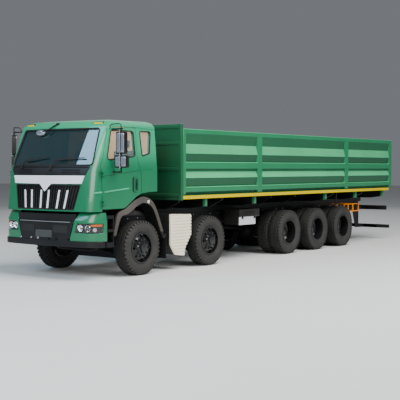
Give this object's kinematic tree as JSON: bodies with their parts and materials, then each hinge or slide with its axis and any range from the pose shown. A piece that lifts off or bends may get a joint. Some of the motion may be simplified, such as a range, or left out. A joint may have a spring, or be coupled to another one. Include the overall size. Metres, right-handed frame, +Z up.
{
  "type": "cargo truck",
  "caption": "Cab-over rigid cargo truck with twin steered axles, a twin-tyred rear bogie, tilting cab and an open high-sided load body with folded steel walls",
  "frame": {"origin": "on the ground under the middle of the truck's bounding box", "axes": "+X forward, +Y to the truck's left, +Z up"},
  "size_m": [12.39, 3.1, 2.935],
  "materials": {
    "chassis_black": "satin",
    "engine_grey": "dusty",
    "box_grey": "satin",
    "cab_green": "gloss",
    "body_green": "satin, weathered",
    "rail_yellow": "satin",
    "lamp_clear": "clear lens",
    "lamp_red": "gloss",
    "cover_cream": "moulded",
    "rack_orange": "satin",
    "window_glass": "tinted",
    "trim_silver": "satin",
    "dash_grey": "moulded",
    "seat_cloth": "woven",
    "tyre_rubber": "dusty",
    "rim_black": "gloss"
  },
  "bodies": {
    "chassis": {"ladder_frame": "chassis_black", "axles": "chassis_black", "front_bumper": "chassis_black", "wheel_arches": "chassis_black", "underrun_bar": "chassis_black", "engine_block": "engine_grey", "leaf_springs": "engine_grey", "battery_box": "box_grey", "fuel_tank": "box_grey", "lamp_panels": "cab_green", "load_floor": "body_green", "headboard": "body_green", "side_wall_left": "body_green", "side_wall_right": "body_green", "marker_rails": "rail_yellow", "headlamps": "lamp_clear", "tail_lamps": "lamp_red", "ribbed_cover": "cover_cream", "rear_rack": "rack_orange"},
    "cab": {"cab_floor": "engine_grey", "cab_front_panel": "cab_green", "cab_roof": "cab_green", "cab_back_panel": "cab_green", "cab_glass": "window_glass", "grille": "chassis_black", "grille_trim": "trim_silver", "dashboard": "dash_grey", "seats": "seat_cloth"},
    "tailgate": {"tailgate": "body_green"},
    "door_left": {"door_left": "cab_green", "door_glass_left": "window_glass", "mirror_left": "chassis_black"},
    "door_right": {"door_right": "cab_green", "door_glass_right": "window_glass", "mirror_right": "chassis_black"},
    "knuckle_a1_left": {"knuckle_a1_left": "engine_grey"},
    "wheel_a1_left": {"tyre_a1_left": "tyre_rubber", "rim_a1_left": "rim_black"},
    "knuckle_a1_right": {"knuckle_a1_right": "engine_grey"},
    "wheel_a1_right": {"tyre_a1_right": "tyre_rubber", "rim_a1_right": "rim_black"},
    "knuckle_a2_left": {"knuckle_a2_left": "engine_grey"},
    "wheel_a2_left": {"tyre_a2_left": "tyre_rubber", "rim_a2_left": "rim_black"},
    "knuckle_a2_right": {"knuckle_a2_right": "engine_grey"},
    "wheel_a2_right": {"tyre_a2_right": "tyre_rubber", "rim_a2_right": "rim_black"},
    "wheel_a3_left": {"tyre_a3_left": "tyre_rubber", "rim_a3_left": "rim_black"},
    "wheel_a3_right": {"tyre_a3_right": "tyre_rubber", "rim_a3_right": "rim_black"},
    "wheel_a4_left": {"tyre_a4_left": "tyre_rubber", "rim_a4_left": "rim_black"},
    "wheel_a4_right": {"tyre_a4_right": "tyre_rubber", "rim_a4_right": "rim_black"},
    "wheel_a5_left": {"tyre_a5_left": "tyre_rubber", "rim_a5_left": "rim_black"},
    "wheel_a5_right": {"tyre_a5_right": "tyre_rubber", "rim_a5_right": "rim_black"}
  },
  "joints": [
    {"name": "cab_tilt", "type": "hinge", "parent": "chassis", "child": "cab", "pos_m": [6.045, 0, 0.9], "axis": [0, 1, 0], "range_deg": [0, 50]},
    {"name": "tailgate_drop", "type": "hinge", "parent": "chassis", "child": "tailgate", "pos_m": [-6.147, 0, 1.488], "axis": [0, -1, 0], "range_deg": [0, 90]},
    {"name": "door_left_swing", "type": "hinge", "parent": "cab", "child": "door_left", "pos_m": [5.865, 1.236, 1.4], "axis": [0, 0, -1], "range_deg": [0, 70]},
    {"name": "door_right_swing", "type": "hinge", "parent": "cab", "child": "door_right", "pos_m": [5.865, -1.236, 1.4], "axis": [0, 0, 1], "range_deg": [0, 70]},
    {"name": "steer_a1_left", "type": "hinge", "parent": "chassis", "child": "knuckle_a1_left", "pos_m": [4.745, 0.9, 0.522], "axis": [0, 0, 1], "range_deg": [-36, 36]},
    {"name": "steer_a1_right", "type": "hinge", "parent": "chassis", "child": "knuckle_a1_right", "pos_m": [4.745, -0.9, 0.522], "axis": [0, 0, 1], "range_deg": [-36, 36]},
    {"name": "steer_a2_left", "type": "hinge", "parent": "chassis", "child": "knuckle_a2_left", "pos_m": [2.545, 0.9, 0.522], "axis": [0, 0, 1], "range_deg": [-23.76, 23.76]},
    {"name": "steer_a2_right", "type": "hinge", "parent": "chassis", "child": "knuckle_a2_right", "pos_m": [2.545, -0.9, 0.522], "axis": [0, 0, 1], "range_deg": [-23.76, 23.76]},
    {"name": "spin_a1_left", "type": "hinge", "parent": "knuckle_a1_left", "child": "wheel_a1_left", "pos_m": [4.745, 1.0525, 0.522], "axis": [0, 1, 0], "continuous": true},
    {"name": "spin_a1_right", "type": "hinge", "parent": "knuckle_a1_right", "child": "wheel_a1_right", "pos_m": [4.745, -1.0525, 0.522], "axis": [0, 1, 0], "continuous": true},
    {"name": "spin_a2_left", "type": "hinge", "parent": "knuckle_a2_left", "child": "wheel_a2_left", "pos_m": [2.545, 1.0525, 0.522], "axis": [0, 1, 0], "continuous": true},
    {"name": "spin_a2_right", "type": "hinge", "parent": "knuckle_a2_right", "child": "wheel_a2_right", "pos_m": [2.545, -1.0525, 0.522], "axis": [0, 1, 0], "continuous": true},
    {"name": "spin_a3_left", "type": "hinge", "parent": "chassis", "child": "wheel_a3_left", "pos_m": [-0.635, 0.9, 0.522], "axis": [0, 1, 0], "continuous": true},
    {"name": "spin_a3_right", "type": "hinge", "parent": "chassis", "child": "wheel_a3_right", "pos_m": [-0.635, -0.9, 0.522], "axis": [0, 1, 0], "continuous": true},
    {"name": "spin_a4_left", "type": "hinge", "parent": "chassis", "child": "wheel_a4_left", "pos_m": [-1.995, 0.9, 0.522], "axis": [0, 1, 0], "continuous": true},
    {"name": "spin_a4_right", "type": "hinge", "parent": "chassis", "child": "wheel_a4_right", "pos_m": [-1.995, -0.9, 0.522], "axis": [0, 1, 0], "continuous": true},
    {"name": "spin_a5_left", "type": "hinge", "parent": "chassis", "child": "wheel_a5_left", "pos_m": [-3.355, 0.9, 0.522], "axis": [0, 1, 0], "continuous": true},
    {"name": "spin_a5_right", "type": "hinge", "parent": "chassis", "child": "wheel_a5_right", "pos_m": [-3.355, -0.9, 0.522], "axis": [0, 1, 0], "continuous": true}
  ],
  "couplings": [
    {"joint": "steer_a1_right", "follows": "steer_a1_left", "ratio": 1},
    {"joint": "steer_a2_left", "follows": "steer_a1_left", "ratio": 0.66},
    {"joint": "steer_a2_right", "follows": "steer_a1_left", "ratio": 0.66}
  ]
}
